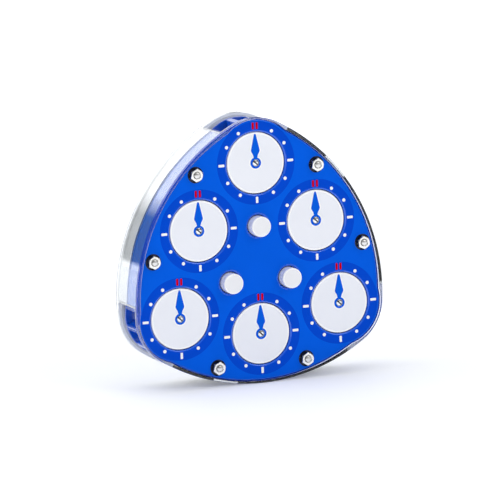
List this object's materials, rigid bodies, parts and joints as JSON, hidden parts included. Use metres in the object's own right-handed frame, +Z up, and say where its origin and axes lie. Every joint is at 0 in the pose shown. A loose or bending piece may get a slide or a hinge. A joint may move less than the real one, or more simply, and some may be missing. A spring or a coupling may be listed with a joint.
{
  "type": "three-sided dial puzzle",
  "caption": "Hand-held puzzle with turning dials on both faces, push pins that choose which dials turn, and ribbed thumb wheels at the corners.",
  "frame": {"origin": "bottom centre of the bounding box, directly under the puzzle as it stands on its lower curved side", "axes": "+Z up, the blue front face looks along -Y, +X to the right seen from the front"},
  "size_m": [0.1008, 0.0256, 0.1019],
  "materials": {
    "blue_plastic": "gloss blue",
    "white_plastic": "satin white",
    "clear_plastic": "clear polished",
    "plated_steel": "plated",
    "inner_plastic": "matte"
  },
  "bodies": {
    "case": {"front_housing": "blue_plastic", "rear_housing": "white_plastic", "front_shell": "clear_plastic", "rear_shell": "clear_plastic", "gear_frame": "inner_plastic", "nut_1": "plated_steel", "bolt_1": "plated_steel", "nut_2": "plated_steel", "bolt_2": "plated_steel", "nut_3": "plated_steel", "bolt_3": "plated_steel", "nut_4": "plated_steel", "bolt_4": "plated_steel", "nut_5": "plated_steel", "bolt_5": "plated_steel", "nut_6": "plated_steel", "bolt_6": "plated_steel", "edge_axle_left": "plated_steel", "edge_axle_right": "plated_steel", "edge_axle_bottom": "plated_steel"},
    "corner_top": {"corner_wheel_top": "blue_plastic", "corner_axle_top": "plated_steel", "front_corner_dial_top": "white_plastic", "front_corner_hand_top": "blue_plastic", "rear_corner_dial_top": "blue_plastic", "rear_corner_hand_top": "white_plastic"},
    "corner_left": {"corner_wheel_left": "blue_plastic", "corner_axle_left": "plated_steel", "front_corner_dial_left": "white_plastic", "front_corner_hand_left": "blue_plastic", "rear_corner_dial_left": "blue_plastic", "rear_corner_hand_left": "white_plastic"},
    "corner_right": {"corner_wheel_right": "blue_plastic", "corner_axle_right": "plated_steel", "front_corner_dial_right": "white_plastic", "front_corner_hand_right": "blue_plastic", "rear_corner_dial_right": "blue_plastic", "rear_corner_hand_right": "white_plastic"},
    "front_edge_left": {"front_edge_dial_left": "white_plastic", "front_edge_hand_left": "blue_plastic"},
    "rear_edge_left": {"rear_edge_dial_left": "blue_plastic", "rear_edge_hand_left": "white_plastic"},
    "front_edge_right": {"front_edge_dial_right": "white_plastic", "front_edge_hand_right": "blue_plastic"},
    "rear_edge_right": {"rear_edge_dial_right": "blue_plastic", "rear_edge_hand_right": "white_plastic"},
    "front_edge_bottom": {"front_edge_dial_bottom": "white_plastic", "front_edge_hand_bottom": "blue_plastic"},
    "rear_edge_bottom": {"rear_edge_dial_bottom": "blue_plastic", "rear_edge_hand_bottom": "white_plastic"},
    "pin_top": {"push_pin_top": "white_plastic"},
    "gear_top": {"pin_gear_top": "inner_plastic"},
    "pin_left": {"push_pin_left": "white_plastic"},
    "gear_left": {"pin_gear_left": "inner_plastic"},
    "pin_right": {"push_pin_right": "white_plastic"},
    "gear_right": {"pin_gear_right": "inner_plastic"}
  },
  "joints": [
    {"name": "corner_top_spin", "type": "hinge", "parent": "case", "child": "corner_top", "pos_m": [0, 0, 0.08456], "axis": [0, 1, 0], "continuous": true},
    {"name": "corner_left_spin", "type": "hinge", "parent": "case", "child": "corner_left", "pos_m": [-0.03284, 0, 0.02768], "axis": [0, 1, 0], "continuous": true},
    {"name": "corner_right_spin", "type": "hinge", "parent": "case", "child": "corner_right", "pos_m": [0.03284, 0, 0.02768], "axis": [0, 1, 0], "continuous": true},
    {"name": "front_edge_left_spin", "type": "hinge", "parent": "case", "child": "front_edge_left", "pos_m": [-0.02404, 0, 0.06052], "axis": [0, 1, 0], "continuous": true},
    {"name": "rear_edge_left_spin", "type": "hinge", "parent": "case", "child": "rear_edge_left", "pos_m": [-0.02404, 0, 0.06052], "axis": [0, 1, 0], "continuous": true},
    {"name": "front_edge_right_spin", "type": "hinge", "parent": "case", "child": "front_edge_right", "pos_m": [0.02404, 0, 0.06052], "axis": [0, 1, 0], "continuous": true},
    {"name": "rear_edge_right_spin", "type": "hinge", "parent": "case", "child": "rear_edge_right", "pos_m": [0.02404, 0, 0.06052], "axis": [0, 1, 0], "continuous": true},
    {"name": "front_edge_bottom_spin", "type": "hinge", "parent": "case", "child": "front_edge_bottom", "pos_m": [0, 0, 0.01888], "axis": [0, 1, 0], "continuous": true},
    {"name": "rear_edge_bottom_spin", "type": "hinge", "parent": "case", "child": "rear_edge_bottom", "pos_m": [0, 0, 0.01888], "axis": [0, 1, 0], "continuous": true},
    {"name": "pin_top_push", "type": "slide", "parent": "case", "child": "pin_top", "axis": [0, 1, 0], "range_m": [0, 0.0036]},
    {"name": "pin_gear_top_spin", "type": "hinge", "parent": "pin_top", "child": "gear_top", "pos_m": [0, 0, 0.06052], "axis": [0, 1, 0], "continuous": true},
    {"name": "pin_left_push", "type": "slide", "parent": "case", "child": "pin_left", "axis": [0, 1, 0], "range_m": [0, 0.0036]},
    {"name": "pin_gear_left_spin", "type": "hinge", "parent": "pin_left", "child": "gear_left", "pos_m": [-0.01202, 0, 0.0397], "axis": [0, 1, 0], "continuous": true},
    {"name": "pin_right_push", "type": "slide", "parent": "case", "child": "pin_right", "axis": [0, 1, 0], "range_m": [0, 0.0036]},
    {"name": "pin_gear_right_spin", "type": "hinge", "parent": "pin_right", "child": "gear_right", "pos_m": [0.01202, 0, 0.0397], "axis": [0, 1, 0], "continuous": true}
  ],
  "couplings": [
    {"joint": "corner_left_spin", "follows": "corner_top_spin", "ratio": 1},
    {"joint": "corner_right_spin", "follows": "corner_top_spin", "ratio": 1},
    {"joint": "front_edge_left_spin", "follows": "corner_top_spin", "ratio": 1},
    {"joint": "front_edge_right_spin", "follows": "corner_top_spin", "ratio": 1},
    {"joint": "front_edge_bottom_spin", "follows": "corner_top_spin", "ratio": 1},
    {"joint": "pin_gear_top_spin", "follows": "corner_top_spin", "ratio": -1.5},
    {"joint": "pin_gear_left_spin", "follows": "corner_top_spin", "ratio": -1.5},
    {"joint": "pin_gear_right_spin", "follows": "corner_top_spin", "ratio": -1.5}
  ]
}
